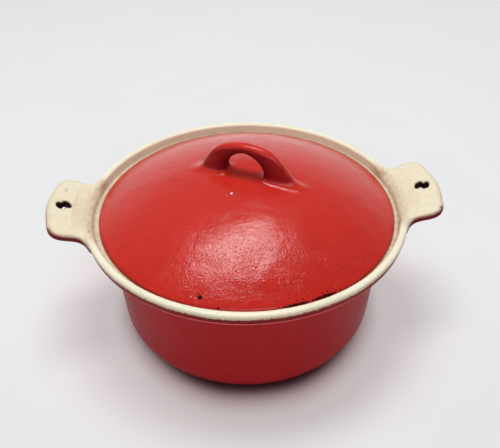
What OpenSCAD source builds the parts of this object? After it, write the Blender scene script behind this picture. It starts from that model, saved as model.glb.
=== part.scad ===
// Enamelled cast iron casserole (soup tureen) with two side lugs and a lift-off lid.
// +Z is up, z = 0 is the ground base, the lugs lie along X, -Y is the front. Millimetres.

/* [Pot] */

// Outer radius of the rim bead
rim_r = 109; // [98:0.5:125]
// Height of the rim's top above the base
pot_h = 92; // [80:0.5:115]
// Radius of the ground flat base
base_r = 78; // [70:0.5:80]
// Outer radius of the bowl where the rounded bottom meets the side wall
corner_r = 90.5; // [88.5:0.5:91.5]
// Height at which the rounded bottom meets the side wall
corner_h = 14; // [12:0.5:26]
// Outer radius of the side wall just below the rim flange
wall_r = 94.5; // [93:0.5:97]
// Finished thickness of the side wall, both enamel coats included
wall_t = 4.6; // [4:0.1:5]
// Finished thickness of the bottom, measured at the centre
floor_t = 5.2; // [4.4:0.1:8]
// Depth of the lid seat below the rim's top
seat_depth = 7.4; // [6.8:0.1:8]
// Radius of the recess wall at the level of the lid seat
seat_r = 102.9; // [102.5:0.1:103.4]

/* [Lugs] */

// Distance from the pot's axis to the end of each lug
lug_reach = 132; // [128:0.5:138]
// Half width of a lug near its outer end
lug_half = 31.5; // [30:0.5:34]
// Half width of a lug at its neck
neck_half = 30.5; // [28:0.5:31]
// Finished thickness of a lug
lug_t = 5.2; // [4.4:0.1:5.3]
// Upward slope of a lug from the rim to its end, in degrees
lug_tilt = 18; // [14:0.5:18.5]
// Distance from the pot's axis to the middle of the pierced hole
hole_x = 122; // [120:0.5:123]
// Overall width of the pierced hole, two ovals side by side
hole_w = 10; // [8:0.2:12]
// How far the outer end of the hole is turned towards the front, in degrees
hole_turn = 32; // [0:1:40]

/* [Lid] */

// Radius of the lid's edge
lid_r = 100.4; // [99.5:0.1:101.2]
// Height of the lid's outer edge above its seat
lid_edge = 2.4; // [2.2:0.1:3.4]
// Height of the dome above the lid's edge
dome_h = 27.5; // [22:0.5:32]
// Finished thickness of the lid
lid_t = 4.6; // [4:0.1:6]
// Depth of the locating rib under the lid
rib_depth = 3.2; // [2:0.1:5]

/* [Lid handle] */

// Overall length of the loop handle over its two roots
loop_len = 64; // [58:1:72]
// Width of the finger opening
loop_gap = 26; // [22:0.5:30]
// Height of the finger opening above the dome
loop_gap_h = 16.5; // [14:0.5:22]
// Thickness of the strap at its crown
loop_t = 5.5; // [5:0.5:8]
// Depth of the strap at its crown, front to back
loop_d = 9; // [8:0.5:14]
// Angle of the loop about the vertical axis, from the line through the lugs
loop_turn = -26; // [-90:1:90]

/* [Enamel] */

// Thickness of each fused enamel coat
coat = 0.5; // [0.3:0.05:0.6]

/* [Hidden] */

turned_facets = 144;
cut_past = 1;      // how far a piercing cut runs past each face of a lug
space_past = 40;   // how far the cutting solids run past the pot and the lid

pot_iron_colour = [0.10, 0.10, 0.11];
lid_iron_colour = [0.11, 0.11, 0.12];
pot_red_colour = [0.62, 0.13, 0.12];
lid_red_colour = [0.80, 0.20, 0.15];
cream_colour = [0.93, 0.87, 0.74];

seat_z = pot_h - seat_depth;
flange_z = seat_z - 4.2;
mouth_r = wall_r - wall_t;

// Lugs: hinged at hinge_x on their top face; lengths are measured along the slope
hinge_x = 104;
lug_top = pot_h - 1.5;
lug_bottom = lug_top - lug_t;
function along_slope(x) = hinge_x + (x - hinge_x) / cos(lug_tilt);
lug_end = along_slope(lug_reach);

// Lid dome: part of a sphere
edge_z = seat_z + lid_edge;
apex_z = edge_z + dome_h;
dome_r = (lid_r * lid_r + dome_h * dome_h) / (2 * dome_h);
dome_under_r = dome_r - lid_t;
dome_centre_z = apex_z - dome_r;

// ---- Points and outlines ----

function unit(v) = v / norm(v);
function right_normal(v) = [v[1], -v[0]];
function reversed(points) = [for (i = [len(points)-1:-1:0]) points[i]];
// Part of a list, both ends included
function part(points, first, last) = [for (i = [first:last]) points[i]];
// Point of a cubic curve from start to end, with two control points between
function curve_point(start, leave, arrive, end, t) =
  start*pow(1-t, 3) + leave*3*t*pow(1-t, 2) + arrive*3*t*t*(1-t) + end*t*t*t;
// Points of a cubic curve, the end left out
function curve(start, leave, arrive, end, steps) =
  [for (i = [0:steps-1]) curve_point(start, leave, arrive, end, i/steps)];
function arc(centre, radius, from, to, steps) =
  [for (i = [0:steps])
    let (angle = from + (to - from)*i/steps)
    centre + radius*[cos(angle), sin(angle)]];
// Right half of an outline, its crown on the Y axis, then the mirrored left half
function symmetric(half, crown) =
  concat(half, [crown], [for (point = reversed(half)) [-point[0], point[1]]]);

// Corner moved to the left of its two edges' directions, kept sharp
function moved_corner(corner, before, after, distance) =
  let (middle = unit(right_normal(before) + right_normal(after)))
  corner - middle * distance / (middle * right_normal(after));
// Open chain moved to its left; an end on the axis stays on the axis
function inset(chain, distance) =
  let (last = len(chain) - 1,
       edges = [for (i = [1:last]) unit(chain[i] - chain[i-1])])
  [for (i = [0:last])
    let (moved = moved_corner(chain[i], edges[max(i-1, 0)], edges[min(i, last-1)], distance))
    chain[i][0] == 0 ? [0, moved[1]] : moved];
// Closed anticlockwise outline shrunk on all sides
function shrink(outline, distance) =
  let (count = len(outline),
       edges = [for (i = [0:count-1]) unit(outline[(i+1)%count] - outline[i])])
  [for (i = [0:count-1])
    moved_corner(outline[i], edges[(i+count-1)%count], edges[i], distance)];

module turned(section) {
  rotate_extrude($fn = turned_facets) polygon(section);
}

// ---- Pot section: [radius, z], from the base's edge out, over the rim and in to the axis ----

corner = [corner_r, corner_h];
inner_corner = [corner_r - wall_t, corner_h];
wall_top = [wall_r, flange_z - 3];
wall_dir = unit(wall_top - corner);
rim_steps = 6;
floor_steps = 13;

// Red part: rounded bottom, side wall, underside and outer edge of the rim
pot_red = concat(
  curve([base_r, 0], [base_r + 0.55*(corner_r - base_r), 0.2],
        corner - wall_dir*corner_h*0.55, corner, 14),
  [corner, wall_top,
   [wall_r + 0.9, flange_z - 1.0], [wall_r + 2.8, flange_z - 0.1],
   [rim_r - 7, flange_z + 0.5], [rim_r - 4.5, flange_z + 1.3],
   [rim_r - 2.7, flange_z + 2.2], [rim_r - 1.6, flange_z + 3.1],
   [rim_r - 1.0, pot_h - 7.5], [rim_r - 0.7, pot_h - 6.6], [rim_r - 0.95, pot_h - 5.6],
   [rim_r - 0.65, pot_h - 4.7], [rim_r - 0.1, pot_h - 3.4]]);
// Cream part: rim bead, recess, lid seat, inner wall and floor
pot_cream = concat(
  arc([rim_r - 2.1, pot_h - 2.1], 2.1, -12, 90, rim_steps),
  arc([rim_r - 3.1, pot_h - 1.9], 1.9, 96, 165, 5),
  [[seat_r + 0.5, seat_z + 0.9], [seat_r - 0.2, seat_z + 0.2], [seat_r - 1.2, seat_z],
   [mouth_r + 2.2, seat_z], [mouth_r + 0.8, seat_z - 0.6], [mouth_r, seat_z - 2],
   inner_corner],
  [for (i = [1:floor_steps])
    curve_point(inner_corner, inner_corner - wall_dir*(corner_h - floor_t)*0.55,
                [base_r - wall_t + 0.5*(corner_r - base_r), floor_t],
                [base_r - wall_t - 4, floor_t], i/floor_steps)],
  [[0, floor_t]]);
pot_finish = concat(pot_red, pot_cream);
pot_iron = inset(pot_finish, coat);
pot_split = len(pot_red);          // index of the first cream point
rim_top = pot_split + rim_steps;   // index of the point on top of the rim
pot_last = len(pot_finish) - 1;

// Space of the bowl, the recess and above, bounded by the finished or the iron section
module bowl_space(section) {
  lid_off_z = pot_h + space_past;
  turned(concat(part(section, rim_top, pot_last),
                [[0, lid_off_z], [section[rim_top][0], lid_off_z]]));
}

// ---- Lugs ----

// Half outline on the +Y side, [distance along the slope, y], from the rim to the end
lug_side =
  let (root = [101.0, 36.8],
       neck = [109.8, neck_half],
       broad = [lug_end - 14, lug_half],
       shoulder = [lug_end - 2.4, lug_half - 13],
       tip = [lug_end, 0])
  concat([[99.6, 38.6]],
    curve(root, [103.6, 33.4], neck - [3.2, -0.6], neck, 8),
    curve(neck, neck + [3, -0.2], broad - [3, 0.2], broad, 4),
    curve(broad, broad + [8, 0.4], shoulder + [-1.2, 8], shoulder, 9),
    curve(shoulder, shoulder + [1.4, -6], tip + [0, 7], tip, 6));
lug_outline = concat([for (point = lug_side) [point[0], -point[1]]], [[lug_end, 0]],
                     reversed(lug_side));

// Tilts a flat lug up along its slope, hinged at the rim
module slope() {
  translate([hinge_x, 0, lug_top])
    rotate([0, -lug_tilt, 0])
      translate([-hinge_x, 0, -lug_top])
        children();
}
module lug(edge_inset, bottom, top) {
  slope()
    translate([0, 0, bottom])
      linear_extrude(height = top - bottom)
        polygon(shrink(lug_outline, edge_inset));
}
// Outline of the piercing, two overlapping ovals side by side, enlarged by grow
function piercing_outline(grow) =
  let (offset_x = hole_w*0.225,
       half_x = hole_w*0.275 + grow,
       half_y = hole_w*0.41 + grow,
       waist = acos(-offset_x/half_x),
       steps = 20,
       oval = [for (i = [0:steps])
         let (angle = -waist + 2*waist*i/steps)
         [offset_x + half_x*cos(angle), half_y*sin(angle)]])
  concat(oval, [for (i = [steps-1:-1:1]) [-oval[i][0], oval[i][1]]]);
module piercing(grow) {
  slope()
    translate([along_slope(hole_x), hole_w*0.05, lug_bottom - cut_past])
      rotate([0, 0, -hole_turn])
        linear_extrude(height = lug_t + 2*cut_past)
          polygon(piercing_outline(grow));
}
module both_sides() {
  children();
  mirror([1, 0, 0]) children();
}

// ---- Pot pieces ----

// Bowl, rim flange with the lid recess, two pierced lugs, ground base
module pot_casting() color(pot_iron_colour) {
  difference() {
    union() {
      turned(concat([[0, 0], [base_r - coat, 0]], part(pot_iron, 1, pot_last)));
      both_sides() lug(coat, lug_bottom + coat, lug_top - coat);
    }
    bowl_space(pot_iron);
    both_sides() piercing(coat);
  }
}
// Outside of the bowl, underside of the rim, underside and edges of the lugs, hole linings
module pot_outer_enamel() color(pot_red_colour) {
  difference() {
    union() {
      turned(concat([[base_r - coat, 0]], pot_red, [pot_cream[0]],
                    reversed(part(pot_iron, 1, pot_split))));
      both_sides() difference() {
        lug(0, lug_bottom, lug_top - coat);
        bowl_space(pot_iron);
      }
    }
    pot_casting();
    pot_inner_enamel();
    both_sides() piercing(0);
  }
}
// Inside of the bowl, recess, rim bead and the lugs' top faces
module pot_inner_enamel() color(cream_colour) {
  difference() {
    union() {
      turned(concat(pot_cream, reversed(part(pot_iron, pot_split, pot_last))));
      both_sides() difference() {
        lug(0, lug_top - coat, lug_top);
        bowl_space(pot_finish);
      }
    }
    pot_casting();
    both_sides() piercing(0);
  }
}

// ---- Lid section: [radius, z], from the top of the dome to the edge, back underneath ----

dome_steps = 13;
under_steps = 12;
dome_end = asin(lid_r / dome_r) * 0.985;   // the dome's arc stops just short of the edge
under_end = asin((mouth_r - 10) / dome_under_r);
function dome_point(radius, angle) = [radius*sin(angle), dome_centre_z + radius*cos(angle)];
// Height of the dome's underside at a distance from the axis
function under_z(r) = dome_centre_z + sqrt(pow(dome_under_r, 2) - r*r);
// Point a distance in from the mouth's radius and a drop below the dome's underside
function under_point(inward, drop) = [mouth_r - inward, under_z(mouth_r - inward) - drop];

lid_red = concat(
  [for (i = [0:dome_steps]) dome_point(dome_r, dome_end*i/dome_steps)],
  [[lid_r - 0.35, edge_z - 0.35], [lid_r, edge_z - 1.1], [lid_r, seat_z + 0.9]]);
// Seating face, locating rib and underside
lid_cream = concat(
  [[lid_r - 0.3, seat_z + 0.25], [lid_r - 0.9, seat_z], [lid_r - 3.8, seat_z],
   under_point(-2.8, 0.3), under_point(0.4, 1.4),
   [mouth_r - 1.9, seat_z + 0.6],
   [mouth_r - 2.6, seat_z - rib_depth + 0.9], [mouth_r - 3.3, seat_z - rib_depth],
   [mouth_r - 5.3, seat_z - rib_depth], [mouth_r - 6.0, seat_z - rib_depth + 0.8],
   under_point(6.6, 2.2), under_point(7.8, 0.5)],
  [for (i = [0:under_steps]) dome_point(dome_under_r, under_end*(1 - i/under_steps))]);
// The section runs clockwise, so it is reversed to be moved inwards
lid_iron = reversed(inset(reversed(concat(lid_red, lid_cream)), coat));
lid_split = len(lid_red);   // index of the first cream point

// Everything below the iron's domed face
module under_dome() {
  bottom_z = seat_z - space_past;
  turned(concat(part(lid_iron, 0, dome_steps),
                [[lid_iron[dome_steps][0], bottom_z], [0, bottom_z]]));
}

// ---- Loop handle: outlines with y up from the dome's top ----

crown_h = loop_gap_h + loop_t;
root_z = -5;   // the roots run down into the dome

// Side view, x along the loop
loop_side =
  let (foot = loop_len/2,
       gap = loop_gap/2,
       haunch = [gap + 4.3, crown_h*0.85],
       crown = [0, crown_h])
  symmetric(concat([[foot + 0.6, root_z]], [[foot, -2.2]],
    part(curve([foot, -2.2], [foot - 2.5, 3], [gap + 12.5, crown_h*0.64], haunch, 10), 1, 9),
    curve(haunch, [gap + 0.5, crown_h*0.945], [7, crown_h], crown, 6)), crown);
// Finger opening in the side view
loop_opening =
  let (gap = loop_gap/2, crown = [0, loop_gap_h])
  symmetric(concat([[gap + 1.2, root_z]],
    curve([gap + 1, -1.2], [gap - 0.6, 2], [gap - 0.8, loop_gap_h*0.98], crown, 10)), crown);
// End view, x across the strap
loop_end =
  let (half = loop_d/2,
       flank = [half + 0.6, crown_h*0.6],
       crown = [0, crown_h + 0.1])
  symmetric(concat([[half + 3.2, root_z]],
    curve([half + 2.6, -1.6], [half + 1.3, 0.6], [half + 0.9, 4], flank, 6),
    curve(flank, [half + 0.3, crown_h*0.85], [half - 1.4, crown_h + 0.1], crown, 6)), crown);

module side_block(outline) {
  rotate([90, 0, 0]) linear_extrude(height = 60, center = true) polygon(outline);
}
module end_block(outline) {
  rotate([90, 0, 90]) linear_extrude(height = 120, center = true) polygon(outline);
}
module loop(skin) {
  translate([0, 0, apex_z]) rotate([0, 0, loop_turn]) difference() {
    intersection() {
      side_block(shrink(loop_side, skin));
      end_block(shrink(loop_end, skin));
    }
    side_block(shrink(loop_opening, -skin));
  }
}

// ---- Lid pieces ----

// Domed plate with a locating rib and a loop handle cast on
module lid_casting() color(lid_iron_colour) {
  union() {
    turned(lid_iron);
    difference() {
      loop(coat);
      under_dome();
    }
  }
}
// Dome, edge and loop handle
module lid_outer_enamel() color(lid_red_colour) {
  difference() {
    union() {
      turned(concat(lid_red, [lid_cream[0]], reversed(part(lid_iron, 0, lid_split))));
      difference() {
        loop(0);
        under_dome();
      }
    }
    lid_casting();
  }
}
// Underside of the lid, the rib and the face that sits in the recess
module lid_inner_enamel() color(cream_colour) {
  turned(concat(lid_cream, reversed(part(lid_iron, lid_split, len(lid_iron) - 1))));
}

pot_casting();
pot_outer_enamel();
pot_inner_enamel();
lid_casting();
lid_outer_enamel();
lid_inner_enamel();
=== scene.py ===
"""Round enamelled cast-iron pot with a domed lid, red outside and cream inside.

The axis is Z and the pot stands on z = 0. Its lugs point along +X and -X; the front is -Y.
Iron and enamel are separate meshes, taken from signed distance fields. Everything is worked
out in millimetres and written to Blender in metres.
"""
import math
from functools import reduce

import bpy
import numpy as np
from mathutils import Matrix, Vector


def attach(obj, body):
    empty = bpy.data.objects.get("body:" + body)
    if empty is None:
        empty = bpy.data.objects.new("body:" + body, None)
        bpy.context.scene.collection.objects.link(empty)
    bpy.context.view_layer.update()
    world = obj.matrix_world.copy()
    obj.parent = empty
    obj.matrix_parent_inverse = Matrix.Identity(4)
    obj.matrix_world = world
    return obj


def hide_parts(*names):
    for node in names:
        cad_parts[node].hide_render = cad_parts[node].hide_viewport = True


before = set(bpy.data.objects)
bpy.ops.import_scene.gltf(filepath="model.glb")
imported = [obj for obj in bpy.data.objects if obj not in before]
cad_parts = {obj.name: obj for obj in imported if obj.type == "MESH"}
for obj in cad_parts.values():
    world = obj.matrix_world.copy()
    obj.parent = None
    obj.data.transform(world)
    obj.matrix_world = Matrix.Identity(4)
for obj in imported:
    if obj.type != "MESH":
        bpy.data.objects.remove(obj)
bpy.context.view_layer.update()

MM = 0.001

# ---------------------------------------------------------------- sizes, the same as in the CAD
POT_H = 92.0
RIM_R = 109.0
BASE_R = 78.0
CORNER = np.array([90.5, 14.0])  # where the curve up from the base meets the wall
WALL_R = 94.5
WALL_T = 4.6
BORE_R = WALL_R - WALL_T
FLOOR_T = 5.2
SEAT_R = 102.9
SEAT_Z = POT_H - 7.4
FLANGE_Z = SEAT_Z - 4.2

LUG_X = 104.0  # where the lug's slope starts
LUG_TILT = math.radians(18)


def along_slope(x):
    """Turns a distance from the axis into one measured along the lug's slope."""
    return LUG_X + (x - LUG_X) / math.cos(LUG_TILT)


LUG_LEN = along_slope(132.0)
LUG_HALF = 31.5
NECK_HALF = 30.5
LUG_T = 5.8
LUG_TOP = POT_H - 1.5
HOLE_LEN = along_slope(122.0)
HOLE_W = 10.0
HOLE_TURN = math.radians(32)

LID_R = 100.4
EDGE_Z = SEAT_Z + 2.4
DOME_H = 27.5
LID_T = 4.6
RIB = 3.2
LOOP_TURN = math.radians(-26.0)
APEX_Z = EDGE_Z + DOME_H
DOME_RS = (LID_R**2 + DOME_H**2) / (2 * DOME_H)  # sphere of the dome
DOME_C = APEX_Z - DOME_RS
UNDER_RS = DOME_RS - LID_T
LID_SHIFT = np.array([0.4, 0.0, 0.0])  # the lid lies a hair to the right in its recess

COAT = 0.5  # thickness of the enamel
CELL = 1.25  # grid for meshing the pot


# ---------------------------------------------------------------- outlines
def bezier(start, pull_a, pull_b, end, count, with_end=False):
    start, pull_a, pull_b, end = (np.asarray(p, float) for p in (start, pull_a, pull_b, end))
    t = np.linspace(0, 1, count + 1)[:, None]
    curve = (
        start * (1 - t) ** 3 + 3 * pull_a * t * (1 - t) ** 2 + 3 * pull_b * t * t * (1 - t) + end * t**3
    )
    return curve if with_end else curve[:-1]


def arc(centre, radius, from_deg, to_deg, count):
    angle = np.radians(np.linspace(from_deg, to_deg, count + 1))
    return np.stack([centre[0] + radius * np.cos(angle), centre[1] + radius * np.sin(angle)], -1)


def pot_section():
    """Half section (radius, z): up the outside, over the rim and down the inside."""
    top = np.array([WALL_R, FLANGE_Z - 3])
    rise = (top - CORNER) / np.linalg.norm(top - CORNER)
    inner = CORNER - [WALL_T, 0]
    flare = CORNER[0] - BASE_R
    return np.concatenate(
        [
            [[0, 0]],
            bezier(
                [BASE_R, 0], [BASE_R + 0.55 * flare, 0.2], CORNER - rise * CORNER[1] * 0.55, CORNER, 30
            ),
            # outer wall and the flange's underside
            [CORNER, top, [WALL_R + 0.9, FLANGE_Z - 1.0], [WALL_R + 2.8, FLANGE_Z - 0.1]],
            [[RIM_R - 7, FLANGE_Z + 0.5], [RIM_R - 4.5, FLANGE_Z + 1.3]],
            [[RIM_R - 2.7, FLANGE_Z + 2.2], [RIM_R - 1.6, FLANGE_Z + 3.1]],
            # lip, groove and bead
            [[RIM_R - 1.0, POT_H - 7.5], [RIM_R - 0.7, POT_H - 6.6], [RIM_R - 0.95, POT_H - 5.6]],
            [[RIM_R - 0.65, POT_H - 4.7], [RIM_R - 0.1, POT_H - 3.4]],
            arc([RIM_R - 2.1, POT_H - 2.1], 2.1, -12, 90, 12),
            arc([RIM_R - 3.1, POT_H - 1.9], 1.9, 96, 165, 8),
            # seat for the lid
            [[SEAT_R + 0.5, SEAT_Z + 0.9], [SEAT_R - 0.2, SEAT_Z + 0.2], [SEAT_R - 1.2, SEAT_Z]],
            [[BORE_R + 2.2, SEAT_Z], [BORE_R + 0.8, SEAT_Z - 0.6], [BORE_R, SEAT_Z - 2]],
            # inner wall and floor
            bezier(
                inner,
                inner - rise * (CORNER[1] - FLOOR_T) * 0.55,
                [BASE_R - WALL_T + 0.5 * flare, FLOOR_T],
                [BASE_R - WALL_T - 4, FLOOR_T],
                28,
                True,
            ),
            [[0, FLOOR_T]],
        ]
    )


def under_lid(radius, drop):
    """Point this far below the dome's underside."""
    return [radius, DOME_C + math.sqrt(UNDER_RS**2 - radius * radius) - drop]


def lid_section():
    """Half section (radius, z): down the top, round the edge and back underneath."""
    top = np.linspace(0, math.asin(LID_R / DOME_RS) * 0.985, 60)
    under = np.linspace(math.asin((BORE_R - 10) / UNDER_RS), 0, 50)
    return np.concatenate(
        [
            np.stack([DOME_RS * np.sin(top), DOME_C + DOME_RS * np.cos(top)], -1),
            [[LID_R - 0.35, EDGE_Z - 0.35], [LID_R, EDGE_Z - 1.1], [LID_R, SEAT_Z + 0.9]],
            [[LID_R - 0.3, SEAT_Z + 0.25], [LID_R - 0.9, SEAT_Z], [LID_R - 3.8, SEAT_Z]],
            # ring-shaped rib that hangs inside the pot's wall
            [under_lid(BORE_R + 2.8, 0.3), under_lid(BORE_R - 0.4, 1.4), [BORE_R - 1.9, SEAT_Z + 0.6]],
            [[BORE_R - 2.6, SEAT_Z - RIB + 0.9], [BORE_R - 3.3, SEAT_Z - RIB]],
            [[BORE_R - 5.3, SEAT_Z - RIB], [BORE_R - 6.0, SEAT_Z - RIB + 0.8]],
            [under_lid(BORE_R - 6.6, 2.2), under_lid(BORE_R - 7.8, 0.5)],
            np.stack([UNDER_RS * np.sin(under), DOME_C + UNDER_RS * np.cos(under)], -1),
        ]
    )


def lug_outline():
    """Outline along the slope of the lug; it starts inside the rim."""
    root, neck = np.array([101.0, 36.8]), np.array([109.8, NECK_HALF])
    wide, tip = np.array([LUG_LEN - 14, LUG_HALF]), np.array([LUG_LEN, 0.0])
    shoulder = np.array([LUG_LEN - 2.4, LUG_HALF - 13])
    half = np.concatenate(
        [
            bezier(root, [103.6, 33.4], neck - [3.2, -0.6], neck, 10),
            bezier(neck, neck + [3, -0.2], wide - [3, 0.2], wide, 8),
            bezier(wide, wide + [8, 0.4], shoulder + [-1.2, 8], shoulder, 14),
            bezier(shoulder, shoulder + [1.4, -6], tip + [0, 7], tip, 10, True),
        ]
    )
    inner = arc([0, 0], 104.6, -20.5, 20.5, 16)
    return np.concatenate([half, (half[:-1] * [1, -1])[::-1], inner])


def hole_outline():
    """Two ovals that overlap side by side, the outer one turned towards the front."""
    offset, half_x, half_y = HOLE_W * 0.225, HOLE_W * 0.275, HOLE_W * 0.41
    meet = math.acos(-offset / half_x)
    angle = np.linspace(-meet, meet, 41)
    oval = np.stack([offset + half_x * np.cos(angle), half_y * np.sin(angle)], -1)
    pair = np.concatenate([oval, (oval[1:-1] * [-1, 1])[::-1]])
    cos, sin = math.cos(-HOLE_TURN), math.sin(-HOLE_TURN)
    return pair @ np.array([[cos, sin], [-sin, cos]]) + [HOLE_LEN, HOLE_W * 0.05]


# ---------------------------------------------------------------- distance fields
class Field:
    """Signed distance to a closed outline on a grid, read back with a smooth cubic filter."""

    def __init__(self, outline, low, high, pitch):
        self.low, self.pitch = np.array(low, float), pitch
        count = [int((high[i] - low[i]) / pitch) + 1 for i in (0, 1)]
        axes = [low[i] + pitch * np.arange(count[i]) for i in (0, 1)]
        x, y = (grid.ravel() for grid in np.meshgrid(*axes, indexing="ij"))
        dist = np.full(len(x), 1e9)
        inside = np.zeros(len(x), bool)
        for a, b in zip(outline, np.roll(outline, -1, 0)):
            edge = b - a
            length_sq = edge @ edge
            if length_sq < 1e-12:
                continue
            t = np.clip(((x - a[0]) * edge[0] + (y - a[1]) * edge[1]) / length_sq, 0, 1)
            gap_sq = (x - a[0] - t * edge[0]) ** 2 + (y - a[1] - t * edge[1]) ** 2
            dist = np.minimum(dist, gap_sq)
            if a[1] != b[1]:
                level = (a[1] > y) != (b[1] > y)
                inside ^= level & (x < (b[0] - a[0]) * (y - a[1]) / (b[1] - a[1]) + a[0])
        dist = np.sqrt(dist)
        dist[inside] *= -1
        self.grid = dist.reshape(count)

    @staticmethod
    def weights(t):
        """Cubic B-spline weights of the four neighbours."""
        return (
            (1 - t) ** 3 / 6,
            (3 * t**3 - 6 * t * t + 4) / 6,
            (-3 * t**3 + 3 * t * t + 3 * t + 1) / 6,
            t**3 / 6,
        )

    def __call__(self, x, y):
        rows, cols = self.grid.shape
        u = np.clip((x - self.low[0]) / self.pitch, 1.001, rows - 3.001)
        v = np.clip((y - self.low[1]) / self.pitch, 1.001, cols - 3.001)
        i, j = u.astype(int), v.astype(int)
        weight_u, weight_v = self.weights(u - i), self.weights(v - j)
        out = np.zeros(len(u))
        flat = self.grid.ravel()
        for a in range(4):
            start = (i + a - 1) * cols + j - 1
            total = weight_v[0] * flat[start]
            for b in range(1, 4):
                total += weight_v[b] * flat[start + b]
            out += weight_u[a] * total
        return out


def smooth_min(one, other, blend):
    near = np.maximum(blend - np.abs(one - other), 0) / blend
    return np.minimum(one, other) - near * near * blend * 0.25


def smooth_max(one, other, blend):
    return -smooth_min(-one, -other, blend)


def both_sides(section):
    """A half section made whole across the axis, so that the axis is no edge."""
    return np.concatenate([section, (section * [-1, 1])[::-1]])


POT_FIELD = Field(both_sides(pot_section()), (-4, -6), (140, 100), 0.3)
LID_FIELD = Field(both_sides(lid_section()), (-4, 76), (110, 124), 0.25)
LUG_FIELD = Field(lug_outline(), (88, -52), (140, 52), 0.3)
HOLE_FIELD = Field(hole_outline(), (106, -14), (136, 14), 0.15)


def rounded_plate(outline_dist, z, bottom, top, radius):
    side = outline_dist + radius
    face = np.abs(z - (bottom + top) / 2) - (top - bottom) / 2 + radius
    outside = np.hypot(np.maximum(side, 0), np.maximum(face, 0))
    return np.minimum(np.maximum(side, face), 0) + outside - radius


def polar(points):
    """Distance from the axis, and height."""
    return np.hypot(points[:, 0], points[:, 1]), points[:, 2]


def slope(points):
    """Along a lug and up from its top face."""
    cos, sin = math.cos(LUG_TILT), math.sin(LUG_TILT)
    dx, dz = np.abs(points[:, 0]) - LUG_X, points[:, 2] - LUG_TOP
    return LUG_X + dx * cos + dz * sin, -dx * sin + dz * cos


# Between the lugs' edges the rim's bead is left out: the recess rolls over into the lug.
# Distance from the axis, height above the rim's top
ROLL = np.array(
    [
        [95, -6.5], [102.0, -6.5], [103.0, -5.6], [104.0, -4.4], [105.0, -3.4], [106.2, -2.5],
        [107.6, -1.7], [109.2, -0.95], [111, -0.2], [113, 0.6], [115, 1.5], [117, 4.0], [120, 9.0],
    ]
)  # fmt: skip


def pot_sdf(points):
    radius, z = polar(points)
    dist = POT_FIELD(radius, z)
    near = np.where((np.abs(points[:, 0]) > 90) & (z > 74) & (np.abs(points[:, 1]) < 50))[0]
    if len(near):
        along, above = slope(points[near])
        y = points[near, 1]
        lug = rounded_plate(LUG_FIELD(along, y), above, -LUG_T, 0.0, 2.6)
        body = smooth_min(dist[near], lug, 4.0)
        over = (z[near] - POT_H - np.interp(radius[near], ROLL[:, 0], ROLL[:, 1])) * 0.75
        body = smooth_max(body, smooth_min(over, 27.0 - np.abs(y), 6.0), 1.6)
        # the hole narrows a little downwards, as a cast one does
        hole = -HOLE_FIELD(along, y) - 0.16 * np.clip(-above, 0, LUG_T)
        dist[near] = smooth_max(body, hole, 0.8)
    return dist


# Half of the loop handle, a strap along an arch that is narrower on top:
# along, up from the dome's top, half thickness in the arch's plane, half depth
LOOP_HALF = np.array(
    [
        [0.0, 19.2, 2.8, 4.3],
        [5.2, 18.4, 3.2, 4.4],
        [10.7, 16.3, 4.3, 4.6],
        [15.5, 13.0, 5.7, 4.8],
        [18.9, 8.5, 6.9, 5.0],
        [21.0, 3.6, 7.9, 5.2],
        [22.3, -0.6, 8.7, 5.4],
        [23.3, -5.0, 9.3, 5.6],
    ]
)


def loop_line():
    """Smooth curve through the stations of the whole loop, in the same columns."""
    left = LOOP_HALF[1:][::-1] * [-1, 1, 1, 1]
    # the right foot stands further out and is thicker but less deep
    right = LOOP_HALF.copy()
    right[5:, 0] += [0.3, 0.8, 1.3]
    right[5:, 2] += [0.2, 0.6, 1.0]
    right[3:, 3] -= [0.3, 0.5, 0.7, 0.9, 1.0]
    knots = np.concatenate([left, right])
    last = len(knots) - 1
    place = np.linspace(0, last, 140)
    i = np.clip(place.astype(int), 0, last - 1)
    t = (place - i)[:, None]
    k0, k1, k2, k3 = knots[np.maximum(i - 1, 0)], knots[i], knots[i + 1], knots[np.minimum(i + 2, last)]
    square, cube = 2 * k0 - 5 * k1 + 4 * k2 - k3, 3 * k1 - k0 - 3 * k2 + k3
    return 0.5 * (2 * k1 + (k2 - k0) * t + square * t**2 + cube * t**3)


LOOP = loop_line()


def loop_sdf(points):
    cos, sin = math.cos(LOOP_TURN), math.sin(LOOP_TURN)
    x = cos * points[:, 0] + sin * points[:, 1]
    y = -sin * points[:, 0] + cos * points[:, 1]
    z = points[:, 2] - APEX_Z
    out = np.full(len(x), 1e9)
    for a, b in zip(LOOP[:-1], LOOP[1:]):
        step_x, step_z = b[0] - a[0], b[1] - a[1]
        length_sq = step_x * step_x + step_z * step_z
        t = np.clip(((x - a[0]) * step_x + (z - a[1]) * step_z) / length_sq, 0, 1)
        dx, dz = x - a[0] - t * step_x, z - a[1] - t * step_z
        side = np.clip((dz * step_x - dx * step_z) / math.sqrt(length_sq) / a[2], -1, 1)
        thick = a[2] + t * (b[2] - a[2])
        deep = a[3] + t * (b[3] - a[3])
        # superellipse across the strap, less deep on the arch's outer side
        deep = deep * (1 - 0.24 * side)
        ratio = ((np.hypot(dx, dz) / thick) ** 3.0 + (np.abs(y) / deep) ** 3.0) ** (1 / 3.0)
        out = np.minimum(out, (ratio - 1) * np.minimum(thick, deep))
    return out


def lid_sdf(points):
    radius, z = polar(points)
    dist = LID_FIELD(radius, z)
    near = np.where((radius < 52) & (z > APEX_Z - 12))[0]
    if len(near):
        dome = dist[near]
        # the loop stops inside the lid's own thickness
        loop = np.maximum(loop_sdf(points[near]), -(dome + LID_T * 0.5))
        dist[near] = smooth_min(dome, loop, 5.0)
    return dist


# ---------------------------------------------------------------- surfaces from the fields
def gradient(field, points):
    reach = 0.06
    out = np.empty_like(points)
    for i in range(3):
        offset = np.zeros(3)
        offset[i] = reach
        out[:, i] = (field(points + offset) - field(points - offset)) / (2 * reach)
    return out


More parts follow.
